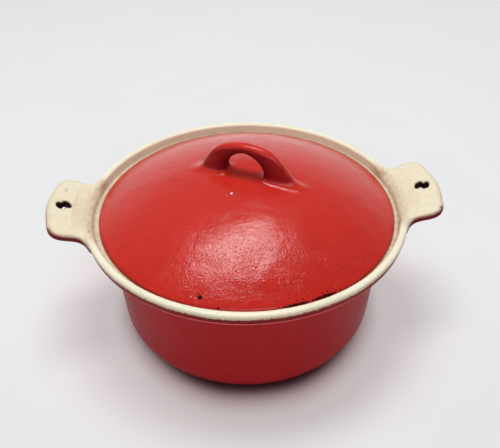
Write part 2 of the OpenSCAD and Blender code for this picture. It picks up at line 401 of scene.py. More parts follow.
def unit_normals(field, points):
    normals = gradient(field, points)
    return normals / np.linalg.norm(normals, axis=1)[:, None]


def newton(field, points, least):
    """One step towards where the field is zero; least keeps flat gradients in check."""
    grad = gradient(field, points)
    return points - (field(points) / np.maximum((grad * grad).sum(1), least))[:, None] * grad


def project(field, points, rounds=2):
    for _ in range(rounds):
        points = newton(field, points, 0.2)
    return points


def surface_nets(field, low, high, cell):
    """Quads with one vertex in every grid cell that the surface passes through."""
    low, high = np.array(low, float), np.array(high, float)
    count = np.ceil((high - low) / cell).astype(int) + 1
    axes = [low[i] + cell * np.arange(count[i]) for i in range(3)]
    dist = np.empty(tuple(count), np.float32)
    plane_y, plane_z = (p.ravel() for p in np.meshgrid(axes[1], axes[2], indexing="ij"))
    slab = max(1, int(400000 / len(plane_y)))
    for i in range(0, count[0], slab):
        xs = axes[0][i : i + slab]
        columns = [np.repeat(xs, len(plane_y)), np.tile(plane_y, len(xs)), np.tile(plane_z, len(xs))]
        dist[i : i + slab] = field(np.stack(columns, -1)).reshape(len(xs), count[1], count[2])
    solid = dist < 0
    corners = np.zeros(tuple(count - 1), np.int8)
    for i, j, k in np.ndindex(2, 2, 2):
        corners += solid[i : count[0] - 1 + i, j : count[1] - 1 + j, k : count[2] - 1 + k]
    cells = np.argwhere((corners > 0) & (corners < 8))
    vert_of = np.full(corners.shape, -1, np.int32)
    vert_of[tuple(cells.T)] = np.arange(len(cells))

    # each vertex is the mean of the crossings on its cell's twelve edges
    total, hits = np.zeros((len(cells), 3)), np.zeros(len(cells))
    for axis in range(3):
        others = [i for i in range(3) if i != axis]
        for corner in np.ndindex(2, 2):
            start = np.zeros(3, int)
            start[others] = corner
            end = start.copy()
            end[axis] = 1
            at_start = dist[tuple((cells + start).T)].astype(float)
            at_end = dist[tuple((cells + end).T)].astype(float)
            cross = (at_start < 0) != (at_end < 0)
            t = np.where(cross, at_start / np.where(cross, at_start - at_end, 1), 0)
            total[cross] += (start + t[:, None] * (end - start))[cross]
            hits += cross
    verts = low + cell * (cells + total / hits[:, None])

    # each grid edge that crosses the surface joins the four cells round it
    quads = []
    for axis in range(3):
        side_a, side_b = (axis + 1) % 3, (axis + 2) % 3
        near, far = [slice(1, -1)] * 3, [slice(1, -1)] * 3
        near[axis], far[axis] = slice(0, -1), slice(1, None)
        near, far = solid[tuple(near)], solid[tuple(far)]
        edges = np.argwhere(near != far)
        inside = near[tuple(edges.T)]
        edges[:, side_a] += 1
        edges[:, side_b] += 1
        quad = []
        for back_a, back_b in ((1, 1), (0, 1), (0, 0), (1, 0)):
            around = edges.copy()
            around[:, side_a] -= back_a
            around[:, side_b] -= back_b
            quad.append(vert_of[tuple(around.T)])
        quad = np.stack(quad, -1)
        quad[~inside] = quad[~inside][:, ::-1]
        quads.append(quad)
    return verts, np.concatenate(quads)


def directed_edges(faces):
    sides = faces.shape[1]
    return np.concatenate([faces[:, [k, (k + 1) % sides]] for k in range(sides)])


def edges_of(faces):
    return np.unique(np.sort(directed_edges(faces), 1), axis=0)


def relax(field, verts, quads):
    """Evens out the vertices' spacing along the surface."""
    edges = edges_of(quads)
    a, b = edges.T
    degree = np.bincount(edges.ravel(), minlength=len(verts))
    for _ in range(3):
        mean = np.empty_like(verts)
        for i in range(3):
            mean[:, i] = np.bincount(a, verts[b, i], len(verts)) + np.bincount(b, verts[a, i], len(verts))
        mean /= degree[:, None]
        verts = project(field, verts + 0.6 * (mean - verts), 1)
    return project(field, verts)


def skin(field, low, high, cell):
    verts, quads = surface_nets(field, low, high, cell)
    verts = relax(field, project(field, verts), quads)
    # each quad is cut along its shorter diagonal
    first = ((verts[quads[:, 0]] - verts[quads[:, 2]]) ** 2).sum(1)
    second = ((verts[quads[:, 1]] - verts[quads[:, 3]]) ** 2).sum(1)
    by_first, by_second = quads[first <= second], quads[~(first <= second)]
    tris = [by_first[:, [0, 1, 2]], by_first[:, [0, 2, 3]]]
    tris += [by_second[:, [1, 2, 3]], by_second[:, [1, 3, 0]]]
    return verts, np.concatenate(tris)


def onto_line(field, line, points):
    for _ in range(3):
        points = project(field, newton(line, points, 1e-6), 1)
    return points


def split_at(field, line, verts, tris):
    """Cuts the triangles where line is zero. Returns the mesh and each triangle's side."""
    snap = 0.12  # share of an edge within which its end moves onto the line
    value = line(verts)
    edges = edges_of(tris)
    start, end = value[edges[:, 0]], value[edges[:, 1]]
    cross = start * end < 0
    t = np.abs(start) / (np.abs(start) + np.abs(end) + 1e-12)
    snapped = [edges[cross & (t < snap), 0], edges[cross & (t > 1 - snap), 1]]
    snapped = np.unique(np.concatenate(snapped))
    value[snapped] = 0
    verts = verts.copy()
    verts[snapped] = onto_line(field, line, verts[snapped])

    start, end = value[edges[:, 0]], value[edges[:, 1]]
    cut = np.where(start * end < 0)[0]
    t = (start[cut] / (start[cut] - end[cut]))[:, None]
    added = verts[edges[cut, 0]] * (1 - t) + verts[edges[cut, 1]] * t
    added = onto_line(field, line, added)
    old = len(verts)
    key = edges[cut, 0].astype(np.int64) * old + edges[cut, 1]
    order = np.argsort(key)
    key = key[order]

    def middle(a, b):
        low, high = np.minimum(a, b), np.maximum(a, b)
        return old + order[np.searchsorted(key, low.astype(np.int64) * old + high)]

    verts = np.concatenate([verts, added])
    sign = np.sign(value[tris])
    above, below, zero = (sign > 0).sum(1), (sign < 0).sum(1), (sign == 0).sum(1)
    whole = (above == 0) | (below == 0)
    # one vertex on the line, the other two on either side
    pick = np.where(~whole & (zero == 1))[0]
    first = np.argmax(sign[pick] == 0, 1)
    a, b, c = (tris[pick, (first + i) % 3] for i in range(3))
    mid = middle(b, c)
    out = [tris[whole], np.stack([a, b, mid], -1), np.stack([a, mid, c], -1)]
    # one vertex alone on its side
    pick = np.where(~whole & (zero == 0))[0]
    lone = np.where(above[pick] == 1, 1, -1)
    first = np.argmax(sign[pick] == lone[:, None], 1)
    a, b, c = (tris[pick, (first + i) % 3] for i in range(3))
    mid_b, mid_c = middle(a, b), middle(a, c)
    out += [np.stack(tri, -1) for tri in ((a, mid_b, mid_c), (mid_b, b, c), (mid_b, c, mid_c))]
    tris = np.concatenate(out)
    # triangles that lie wholly on the line go with the side of their middle
    value = np.concatenate([value, np.zeros(len(added))])
    side = np.sign(value[tris].sum(1))
    flat = side == 0
    side[flat] = np.sign(line(verts[tris[flat]].mean(1)))
    return verts, tris, side


def compact(verts, tris, *arrays):
    """Drops the vertices that no triangle uses."""
    used = np.unique(tris)
    new = np.full(len(verts), -1, np.int64)
    new[used] = np.arange(len(used))
    return (verts[used], new[tris]) + tuple(a[used] for a in arrays)


def boundary(tris):
    edges = directed_edges(tris)
    _, place, uses = np.unique(np.sort(edges, 1), axis=0, return_inverse=True, return_counts=True)
    return edges[uses[place.ravel()] == 1]


def coat_solid(verts, normals, tris, thick):
    """A coat with its own closed surface: outer faces, the same moved in, and a wall round the edge.
    Where thick is 0 at a vertex the two layers meet. Also gives each vertex's source."""
    used = np.unique(tris)
    count = len(verts)
    inner = np.arange(count)
    deep = used[thick[used] > 1e-6]
    inner[deep] = count + np.arange(len(deep))
    wall = []
    for a, b in boundary(tris):
        under_a, under_b = inner[a], inner[b]
        if under_a != a and under_b != b:
            wall += [(b, a, under_a), (b, under_a, under_b)]
        elif under_a != a:
            wall += [(b, a, under_a)]
        elif under_b != b:
            wall += [(b, a, under_b)]
    tris = np.concatenate([tris, inner[tris][:, ::-1], np.array(wall)])
    a, b, c = tris.T
    return compact(
        np.concatenate([verts, verts[deep] - normals[deep] * thick[deep][:, None]]),
        tris[(a != b) & (b != c) & (a != c)],
        np.concatenate([normals, -normals[deep]]),
        np.concatenate([np.arange(count), deep]),
    )


def largest(verts, tris, *arrays):
    """The coat without crumbs that hang on nothing."""
    label = np.arange(len(verts))
    while True:
        lowest = label[tris].min(1)
        new = label.copy()
        for k in range(3):
            np.minimum.at(new, tris[:, k], lowest)
        new = new[new]
        if (new == label).all():
            break
        label = new
    mine = label[tris[:, 0]]
    return compact(verts, tris[mine == np.bincount(mine).argmax()], *arrays)


# ---------------------------------------------------------------- pot
# Height and the radius half way through the side wall
MID_WALL_Z = [0, 3, 5, 7, 10, 14, 80, FLANGE_Z + 0.8, FLANGE_Z + 2.4]
MID_WALL_R = [78, 80, 82.5, 84.8, 86.9, 88.2, 92.2, 93.0, 105.5]


def spray(points):
    """Millimetres above the line where cream meets red on the outside; far above zero inside."""
    radius, z = polar(points)
    side = np.abs(points[:, 1])
    angle = np.arctan2(points[:, 1], points[:, 0])
    lug = np.clip((radius - 109.2) / 3.0, 0, 1)
    along, above = slope(points)
    top = np.clip(-LUG_FIELD(along, points[:, 1]) - 1.0, 0, 3.2) * np.clip(1 + above / 2.5, 0, 1)
    out = (z - POT_H + 2.7) * (1 - lug) + (above + 0.6 + top) * lug
    out = out + 0.25 * np.sin(7 * angle + 1.3) + 0.15 * np.sin(17 * angle)
    out = out + 0.12 * np.sin(31 * angle + 2.0)
    inside = np.minimum((np.interp(z, MID_WALL_Z, MID_WALL_R) - radius) * 4.0, z - FLOOR_T * 0.5)
    # the roll between the recess and a lug is cream right across
    roll = above + 1.4 + 3.2 * np.clip((111.0 - radius) / 4.0, 0, 1)
    roll = roll - 6.0 * np.clip((side - 25.0) / 5.0, 0, 1)
    roll = np.minimum(roll, (np.abs(points[:, 0]) - 98.0) * 2.0)
    return np.maximum(np.maximum(out, inside), roll)


def base_edge(points):
    """Positive on the ground base."""
    radius, z = polar(points)
    return np.minimum((BASE_R - 0.8) - radius, 1.5 - z)


pot_verts, pot_tris = skin(pot_sdf, (-136, -113, -4), (136, 113, 104), CELL)
pot_verts, pot_tris, _ = split_at(pot_sdf, spray, pot_verts, pot_tris)
pot_verts, pot_tris, base_side = split_at(pot_sdf, base_edge, pot_verts, pot_tris)
is_base = base_side > 0
is_cream = (spray(pot_verts[pot_tris].mean(1)) > 0) & ~is_base
pot_normals = unit_normals(pot_sdf, pot_verts)
# the ground base is bare iron
pot_coat = np.full(len(pot_verts), COAT)
pot_coat[np.unique(pot_tris[is_base])] = 0.0


# ---------------------------------------------------------------- lid
def lid_line(points):
    """Positive on the red side of the lid; the line runs round under the edge."""
    radius, z = polar(points)
    mid_dome = DOME_C + np.sqrt(np.maximum((DOME_RS - LID_T * 0.5) ** 2 - radius * radius, 1.0))
    outer = np.clip((radius - 90) / 6.0, 0, 1)
    return np.maximum(z - (mid_dome * (1 - outer) + (SEAT_Z + 1.3) * outer), radius - 98.8)


lid_verts, lid_tris = skin(lid_sdf, (-103, -103, 78), (103, 103, APEX_Z + 26), CELL * 0.92)
lid_verts, lid_tris, lid_side = split_at(lid_sdf, lid_line, lid_verts, lid_tris)
is_top = lid_side > 0
lid_normals = unit_normals(lid_sdf, lid_verts)
lid_coat = np.full(len(lid_verts), COAT)


# ---------------------------------------------------------------- node graphs
class Graph:
    """Short names for building a node tree."""

    def __init__(self, tree):
        self.tree = tree

    def put(self, socket, value):
        if isinstance(value, bpy.types.NodeSocket):
            self.tree.links.new(value, socket)
        elif value is not None:
            if isinstance(value, tuple) and len(value) == 3 and socket.type == "RGBA":
                value = (*value, 1)
            socket.default_value = value

    def node(self, kind, inputs, **settings):
        node = self.tree.nodes.new("ShaderNode" + kind)
        for name, value in settings.items():
            setattr(node, name, value)
        for key, value in inputs.items():
            self.put(node.inputs[key], value)
        return node

    def math(self, op, a, b=None, clamp=False):
        return self.node("Math", {0: a, 1: b}, operation=op, use_clamp=clamp).outputs[0]

    def mul(self, *values):
        return reduce(lambda a, b: self.math("MULTIPLY", a, b), values)

    def add(self, *values):
        return reduce(lambda a, b: self.math("ADD", a, b), values)

    def invert(self, value):
        return self.math("SUBTRACT", 1.0, value)

    def step(self, value, start, end, low=0.0, high=1.0):
        """Smooth change from low to high while value goes from start to end."""
        ends = {"From Min": start, "From Max": end, "To Min": low, "To Max": high}
        inputs = {"Value": value, **ends}
        node = self.node("MapRange", inputs, interpolation_type="SMOOTHSTEP", clamp=True)
        return node.outputs["Result"]

    def mix(self, factor, base, over):
        """Colour mix: sockets 6, 7 and output 2 are the colour ones."""
        return self.node("Mix", {}, data_type="RGBA") and self._mix(factor, base, over)

    def mix(self, factor, base, over):
        """Colour mix; 6 and 7 are the node's colour inputs, 2 its colour output."""
        return self.node("Mix", {0: factor, 6: base, 7: over}, data_type="RGBA").outputs[2]

    def xyz(self, vector):
        return self.node("SeparateXYZ", {0: vector}).outputs


class Material(Graph):
    def __init__(self, name):
        self.material = bpy.data.materials.new(name)
        self.material.use_nodes = True
        super().__init__(self.material.node_tree)
        self.tree.nodes.clear()
        self.output = self.node("OutputMaterial", {})
        self.pos = self.vec("SCALE", self.node("TexCoord", {}).outputs["Object"], 1 / MM)

    def vec(self, op, a, b):
        inputs = {0: a, "Scale" if op == "SCALE" else 1: b}
        node = self.node("VectorMath", inputs, operation=op)
        return node.outputs["Value" if op == "DISTANCE" else 0]

    def noise(self, size, detail=2.0, rough=0.5, warp=0.0, vector=None, out="Fac"):
        """Noise of the given size in millimetres."""
        inputs = {"Vector": vector or self.pos, "Scale": 1.0 / size, "Detail": detail}
        inputs.update({"Roughness": rough, "Distortion": warp})
        return self.node("TexNoise", inputs).outputs[out]

    def patches(self, size, detail, rough, start, end, low=0.0, high=1.0, **more):
        """Noise with its contrast raised."""
        return self.step(self.noise(size, detail, rough, **more), start, end, low, high)

    def jitter(self, amount, size, detail, rough):
        """Noise about zero."""
        return self.mul(self.math("SUBTRACT", self.noise(size, detail, rough), 0.5), amount)

    def dots(self, size, start, end):
        """Round dots in cells of the given size."""
        cells = self.node("TexVoronoi", {"Vector": self.pos, "Scale": 1.0 / size})
        return self.step(cells.outputs["Distance"], start, end)

    def attr(self, name):
        return self.node("Attribute", {}, attribute_name=name).outputs["Fac"]

    def axis_dist(self, x, y, *x_weight):
        squares = self.add(self.mul(x, x, *x_weight), self.mul(y, y))
        return self.math("SQRT", squares)

    def bump(self, height, dist, normal=None):
        """height is 0 to 1 over dist millimetres."""
        inputs = {"Distance": dist * MM, "Height": height, "Normal": normal}
        return self.node("Bump", inputs).outputs[0]

    def principled(self, color, rough, normal, metal=0.0, spec=0.5):
        inputs = {"Base Color": color, "Roughness": rough, "Metallic": metal, "Normal": normal}
        inputs.update({"Specular IOR Level": spec, "Coat Roughness": 0.1})
        return self.node("BsdfPrincipled", inputs).outputs[0]

    def finish(self, shader):
        self.put(self.output.inputs["Surface"], shader)
        return self.material


# ---------------------------------------------------------------- enamel
# Glaze colours: main, its paler clouds, its deeper spots
LID_REDS = (0.52, 0.021, 0.0125), (0.55, 0.035, 0.023), (0.38, 0.010, 0.010)
POT_REDS = (0.42, 0.0085, 0.013), (0.455, 0.013, 0.016), (0.29, 0.005, 0.008)
# Painted shade: lid red for upright faces, for the faces round the loop, and towards the front and right
# edge
LID_UPRIGHT_SHADE = (0.27, 0.006, 0.010)
LOOP_SHADE = (0.075, 0.002, 0.006)
LID_FRONT_SHADE = (0.42, 0.011, 0.008)
# Painted shade for the lugs' edges and undersides
LUG_SHADE_RED = (0.09, 0.006, 0.008)
# Painted shade for the groove under the rim's bead, and a painted highlight for the lip below it
GROOVE_SHADE = (0.10, 0.004, 0.006)
LIP_HIGHLIGHT = (0.95, 0.20, 0.19)
HALO_RED = (0.16, 0.012, 0.014)
# Thin glaze and painted shade on the walls of the lugs' holes
HOLE_WALL = (0.022, 0.006, 0.007)
CREAM = (0.82, 0.775, 0.595)
CREAM_CLOUD = (0.81, 0.77, 0.62)
CREAM_SPOT = (0.70, 0.58, 0.40)
CREAM_TAN = (0.52, 0.36, 0.22)
HALO_CREAM = (0.62, 0.44, 0.26)
SPECK = (0.12, 0.07, 0.04)
RARE_SPECK = (0.16, 0.09, 0.05)
PIT = (0.045, 0.008, 0.008)
LID_MARK = (0.020, 0.005, 0.005)
POT_MARK = (0.10, 0.035, 0.02)
GLINT = (0.85, 0.70, 0.66)
SCUFF = (0.85, 0.72, 0.66)
IRON = (0.018, 0.016, 0.016)
CHIP_RUST = (0.06, 0.022, 0.010)

# Single marks in the glaze: x, y, z and radius in millimetres
LID_PITS = [
    (-33.8, -89.0, 89.9, 1.5), (-23.8, -96.3, 87.5, 0.8), (-34.7, -86.7, 90.7, 0.5),
    (-12.4, -92.7, 89.4, 0.5), (10.0, -98.9, 87.3, 0.45), (13.4, -98.7, 87.2, 0.7),
    (15.3, -98.5, 87.2, 0.8), (17.1, -98.2, 87.2, 1.1), (18.9, -97.8, 87.3, 0.9),
    (20.5, -97.5, 87.3, 1), (22.1, -97.1, 87.3, 0.8), (23.8, -96.7, 87.3, 0.9),
    (25.4, -96.3, 87.3, 1), (27.2, -95.8, 87.3, 0.8), (30.7, -94.7, 87.3, 0.6),
    (32.7, -94.1, 87.3, 0.8), (34.4, -93.4, 87.3, 1), (36.2, -92.8, 87.3, 1),
    (38.0, -92.1, 87.3, 1.2), (39.7, -91.5, 87.2, 1.1), (41.3, -90.9, 87.1, 1.2),
    (43.2, -90.0, 87.1, 0.9), (45.1, -89.1, 87.0, 0.7), (48.3, -87.5, 87.0, 0.5),
    (21.4, -95.5, 88.5, 0.45), (24.9, -94.4, 88.7, 0.6), (36.8, -90.6, 88.5, 0.6),
    (40.1, -89.2, 88.5, 0.6), (-12.2, -20.9, 113.1, 0.55), (-9.6, -21.2, 113.1, 0.5),
    (-10.8, -22.3, 113.0, 0.55), (-11.0, -19.6, 113.1, 0.4),
]  # fmt: skip
LID_GLINTS = [(-10.7, -21.0, 113.2, 0.85), (-39.1, -87.7, 90.0, 0.55), (-36.6, -89.2, 89.6, 0.45)]
POT_PITS = [
    (-1.3, -108.1, 84.8, 0.6), (2.6, -108.1, 85.2, 0.4), (76.0, -77.0, 85.8, 1.1),
    (77.6, -75.2, 86.0, 0.7), (73.5, -79.0, 86.0, 0.5), (126.6, -27.2, 97.3, 0.7),
    (-19.5, -91.2, 58.1, 0.5), (-122.7, 16.9, 96.6, 0.5), (-122.2, 18.4, 96.5, 0.45),
    (-123.1, 15.3, 96.7, 0.4),
]  # fmt: skip
# Chips in the lid down to the iron, each a soft ball, in the same columns
LID_CHIPS = [(19.2, -97.6, 87.3, 0.8), (34.0, -93.8, 87.3, 0.7), (40.5, -91.3, 87.2, 0.8)]


def red_glaze(mat, main, pale, deep):
    clouds = mat.patches(size=38, detail=3, rough=0.55, start=0.35, end=0.7, high=0.35)
    color = mat.mix(clouds, main, pale)
    spots = mat.patches(size=7, detail=3, rough=0.6, warp=0.3, start=0.45, end=0.75, high=0.25)
    color = mat.mix(spots, color, deep)
    fine = mat.patches(size=0.9, detail=2, rough=0.6, start=0.55, end=0.8, high=0.35)
    return mat.mix(fine, color, deep)


def lid_painted_shade(mat, color):
    """Painted shade: darker red on upright faces, darkest round the loop, and towards the front and right
    edge.
    Returns the colour and the specular level."""
    upward = mat.xyz(mat.node("NewGeometry", {}).outputs["Normal"])[2]
    loop_centre = (LID_SHIFT[0], LID_SHIFT[1], APEX_Z + 4.0)
    loop = mat.step(mat.vec("DISTANCE", mat.pos, loop_centre), start=24.0, end=12.0)
    # painted shade: the red for upright faces, darkest round the loop
    deeper = mat.mix(loop, LID_UPRIGHT_SHADE, LOOP_SHADE)
    color = mat.mix(mat.step(upward, start=0.75, end=0.25, high=0.85), color, deeper)
    x, y, _ = mat.xyz(mat.pos)
    forward = mat.math("SUBTRACT", mat.mul(x, 0.35), y)
    color = mat.mix(mat.step(forward, start=45.0, end=110.0, high=0.5), color, LID_FRONT_SHADE)
    level = mat.step(upward, start=0.2, end=0.75, low=0.35)
    return color, mat.mul(mat.mul(level, mat.invert(mat.mul(loop, 0.75))), 0.34)


def rim_shading(mat, red):
    """Painted shade in the groove under the bead and a painted highlight on the lip below it. Returns the
    colour and a relief.
    """
    x, y, z = mat.xyz(mat.pos)
    beside = mat.step(mat.math("ABSOLUTE", y), start=34.0, end=40.0)
    between = mat.step(mat.math("ABSOLUTE", x), start=104.0, end=98.0)
    off_lug = mat.math("MAXIMUM", beside, between)
    zone = mat.mul(mat.step(mat.axis_dist(x, y), start=104.5, end=106.5), off_lug)

    def band(bottom, full_from, full_to, top):
        """1 between two depths below the rim, fading out to bottom and top."""
        rise = mat.step(z, start=POT_H - bottom, end=POT_H - full_from)
        fall = mat.step(z, start=POT_H - top, end=POT_H - full_to)
        return mat.mul(rise, fall, zone)

    groove = band(bottom=6.9, full_from=6.2, full_to=4.6, top=3.4)
    from_lip = mat.math("ABSOLUTE", mat.add(z, -(POT_H - 7.6)))
    lip = mat.mul(mat.step(from_lip, start=1.15, end=0.25), zone)
    # painted shade in the groove and a painted highlight on the lip
    red = mat.mix(mat.mul(groove, 0.55), red, GROOVE_SHADE)
    red = mat.mix(mat.mul(lip, 0.95), red, LIP_HIGHLIGHT)
    return red, mat.invert(band(bottom=7.6, full_from=6.2, full_to=5.2, top=4.0))


def cream_glaze(mat, halo):
    """Cream with a tan tint and specks where the grime_and_shade mask is high, which stands partly for
    grime and partly for painted shade. Returns the colour and the film_and_shade mask.
    """
    clouds = mat.patches(size=45, detail=3, rough=0.5, start=0.35, end=0.7, high=0.25)
    color = mat.mix(clouds, CREAM, CREAM_CLOUD)
    spots = mat.patches(size=9, detail=3, rough=0.6, start=0.5, end=0.8, high=0.18)
    color = mat.mix(spots, color, CREAM_SPOT)
    color = mat.mix(mat.mul(halo, 0.48), color, HALO_CREAM)
    grime_and_shade = mat.attr("grime_and_shade")
    film_and_shade = mat.patches(size=3.0, detail=3, rough=0.6, start=0.25, end=0.75, low=0.45)
    film_and_shade = mat.mul(grime_and_shade, film_and_shade)
    color = mat.mix(mat.math("MULTIPLY", film_and_shade, 0.8, clamp=True), color, CREAM_TAN)
    specks = mat.mul(
        mat.dots(size=1.9, start=0.30, end=0.12),
        mat.patches(size=2.6, detail=2, rough=0.6, start=0.52, end=0.62),
        mat.step(grime_and_shade, start=0.15, end=0.8, high=0.85),
    )
    color = mat.mix(specks, color, SPECK)
    rare = mat.mul(
        mat.dots(size=7.0, start=0.055, end=0.03),
        mat.patches(size=30, detail=1, rough=0.5, start=0.45, end=0.6),
    )
    return mat.mix(mat.mul(rare, 0.8), color, RARE_SPECK), film_and_shade


def spots(mat, places):
    """1 inside the listed marks, with ragged edges."""
    wander = mat.vec("SUBTRACT", mat.noise(size=1 / 1.3, out="Color"), (0.5, 0.5, 0.5))
    pos = mat.vec("ADD", mat.pos, mat.vec("SCALE", wander, 1.1))
    marks = [
        mat.step(mat.vec("DISTANCE", pos, (x, y, z)), start=radius * 1.2, end=radius * 0.75)
        for x, y, z, radius in places
    ]
    return reduce(lambda a, b: mat.math("MAXIMUM", a, b), marks)


def enamel(name, lid=False):
    mat = Material(name)
    red = red_glaze(mat, *(LID_REDS if lid else POT_REDS))
    spec = 0.15
    if lid:
        red, spec = lid_painted_shade(mat, red)

    # cream share, with a ragged line that is softer on the lugs
    line = mat.attr("spray")
    on_lug = mat.attr("onlug")
    coarse = mat.jitter(2.6, size=1.5, detail=3, rough=0.7)
    ragged = mat.add(coarse, mat.jitter(3.2, size=0.65, detail=1, rough=0.5))
    ragged = mat.add(line, mat.mul(ragged, mat.invert(mat.mul(on_lug, 0.7))))
    line_from = mat.step(on_lug, start=0.0, end=1.0, low=-0.55, high=-1.5)
    line_to = mat.step(on_lug, start=0.0, end=1.0, low=0.45, high=1.0)
    share = mat.step(ragged, line_from, line_to)

    # painted shade: the red on the edges and undersides of the lugs is darkened to nearly black
    red = mat.mix(mat.mul(on_lug, 0.72), red, LUG_SHADE_RED)
    # a thin brown edge where the two glazes run together
    halo = mat.mul(mat.step(line, start=-1.6, end=-0.2), mat.step(line, start=3.2, end=0.2))
    red = mat.mix(mat.mul(halo, 0.65), red, HALO_RED)
    if not lid:
        red, profile = rim_shading(mat, red)
    cream, film_and_shade = cream_glaze(mat, halo)
    color = mat.mix(share, red, cream)
    if not lid:
        # the walls of the holes are darkened: thin glaze, and painted shade
        color = mat.mix(mat.attr("hollow"), color, HOLE_WALL)

    # small pits, dark at the bottom
    pitted = mat.attr("pitted")
    pit_dots = dict(size=1.7, start=0.27, end=0.14) if lid else dict(size=4.0, start=0.13, end=0.05)
    pits = mat.mul(
        mat.dots(**pit_dots),
        mat.patches(size=9, detail=3, rough=0.6, start=0.32, end=0.52),
        pitted,
        mat.patches(size=1.9, detail=1, rough=0.5, start=0.40, end=0.56),
    )
    color = mat.mix(mat.mul(pits, mat.invert(mat.mul(share, 0.7))), color, PIT)
    # chips down to the iron
    chip = mat.add(mat.attr("chip"), mat.jitter(1.3, size=1.1, detail=3, rough=0.7))
    bare = mat.step(chip, start=0.42, end=0.58)
    rust = mat.patches(size=0.8, detail=3, rough=0.6, start=0.4, end=0.65)
    color = mat.mix(bare, color, mat.mix(rust, IRON, CHIP_RUST))
    marks = spots(mat, LID_PITS if lid else POT_PITS)
    color = mat.mix(mat.mul(marks, 0.96), color, LID_MARK if lid else POT_MARK)
    if lid:
        color = mat.mix(spots(mat, LID_GLINTS), color, GLINT)
    # faint scuffs, drawn out along Y
    drawn = mat.vec("MULTIPLY", mat.pos, (1.0, 0.12, 1.0))
    scuff = mat.mul(
        mat.patches(size=1.3, detail=2, rough=0.7, warp=0.4, vector=drawn, start=0.66, end=0.74),
        mat.patches(size=22, detail=2, rough=0.5, start=0.52, end=0.66),
    )
    color = mat.mix(mat.mul(scuff, 0.10), color, SCUFF)

    # relief: waves, orange peel and fine grain, then pits and chips
    normal = mat.bump(mat.noise(size=16, detail=2, rough=0.5), dist=0.50)
    if not lid:
        normal = mat.bump(profile, dist=0.8, normal=normal)
    peel = mat.noise(size=2.4, detail=2, rough=0.5)
    normal = mat.bump(peel, dist=0.10 if lid else 0.085, normal=normal)
    normal = mat.bump(mat.noise(size=0.55, detail=2, rough=0.6), dist=0.018, normal=normal)
    if lid:
        where = mat.patches(size=12, detail=3, rough=0.6, start=0.3, end=0.65, low=0.35)
        grain = mat.mul(mat.noise(size=0.95, detail=1, rough=0.5), mat.mul(pitted, where))
        normal = mat.bump(grain, dist=0.25, normal=normal)
        swirl = mat.noise(size=5.5, detail=3, rough=0.6, warp=1.8)
        normal = mat.bump(swirl, dist=0.06, normal=normal)
    normal = mat.bump(mat.invert(pits), dist=0.25, normal=normal)
    normal = mat.bump(mat.invert(bare), dist=0.28, normal=normal)
    rough = mat.add(
        mat.patches(size=11, detail=3, rough=0.6, start=0.3, end=0.7, low=0.15, high=0.22),
        mat.mul(mat.noise(size=0.7, detail=2, rough=0.6), 0.06),
        mat.mul(scuff, 0.12),
        mat.mul(bare, 0.4),
        mat.mul(film_and_shade, 0.15),
        mat.mul(marks, 0.6),
    )
    spec = mat.mul(mat.invert(marks), spec)
    return mat.finish(mat.principled(color, rough, normal, spec=spec))


# ---------------------------------------------------------------- iron
IRON_CLOUD = (0.045, 0.040, 0.038)
IRON_RUST = (0.10, 0.035, 0.014)
STEEL_DARK, STEEL_LIGHT = (0.075, 0.072, 0.070), (0.20, 0.195, 0.19)
STEEL_STAIN = (0.085, 0.042, 0.022)


def iron(name):
    mat = Material(name)
    x, y, _ = mat.xyz(mat.pos)
    clouds = mat.noise(size=14, detail=4, rough=0.6)
    color = mat.mix(mat.step(clouds, start=0.35, end=0.7), IRON, IRON_CLOUD)
    rust = mat.patches(size=6, detail=4, rough=0.65, warp=0.5, start=0.56, end=0.68)
    color = mat.mix(mat.mul(rust, 0.7), color, IRON_RUST)
    # ground base: fine turning marks and a lighter, shinier face
    ground = mat.attr("ground")
    wobble = mat.mul(mat.noise(size=60, detail=1, rough=0.5), 8.0)
    rings = mat.node("CombineXYZ", {0: mat.mul(mat.axis_dist(x, y), 1.0), 1: wobble}).outputs[0]
    turning = mat.noise(size=0.7, detail=3, rough=0.7, vector=rings)
    steel = mat.mix(mat.step(turning, start=0.3, end=0.7), STEEL_DARK, STEEL_LIGHT)
    stain = mat.patches(size=17, detail=4, rough=0.6, warp=0.6, start=0.50, end=0.66)
    steel = mat.mix(mat.mul(stain, 0.7), steel, STEEL_STAIN)
    color = mat.mix(ground, color, steel)
    rough = mat.step(clouds, start=0.3, end=0.7, low=0.55, high=0.75)
    rough = mat.add(rough, mat.mul(ground, -0.22))
    normal = mat.bump(mat.noise(size=0.9, detail=3, rough=0.7), dist=0.10)
    normal = mat.bump(turning, dist=0.03, normal=normal)
    return mat.finish(mat.principled(color, rough, normal, metal=mat.mul(ground, 0.75)))


